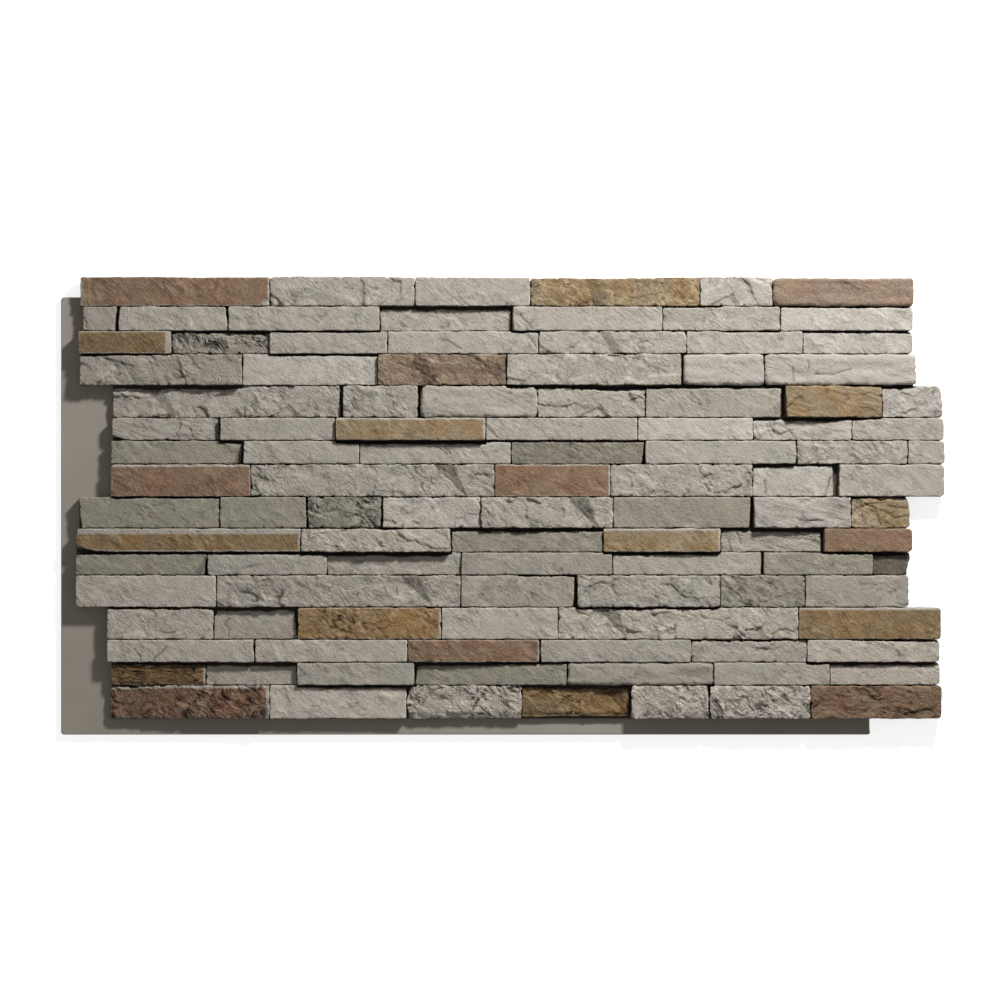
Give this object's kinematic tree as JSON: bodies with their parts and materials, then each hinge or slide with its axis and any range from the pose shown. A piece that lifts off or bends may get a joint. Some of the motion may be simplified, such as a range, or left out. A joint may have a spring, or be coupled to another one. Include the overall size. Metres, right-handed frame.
{
  "type": "faux stone wall panel",
  "caption": "Stacked ledgestone wall panel moulded in one piece, with staggered courses that interlock at both ends and flanges at its left and bottom edges that the next panels lap over.",
  "frame": {"origin": "centre of the panel's overall outline, on its back face", "axes": "+X along the courses to the panel's right, +Y up the wall, +Z out of the wall; the panel lies on its back"},
  "size_m": [1.237, 0.6414, 0.042],
  "materials": {
    "painted_foam": "matte, moulded in stone relief and spray painted"
  },
  "bodies": {
    "root": {"stone_panel": "painted_foam"}
  },
  "joints": []
}
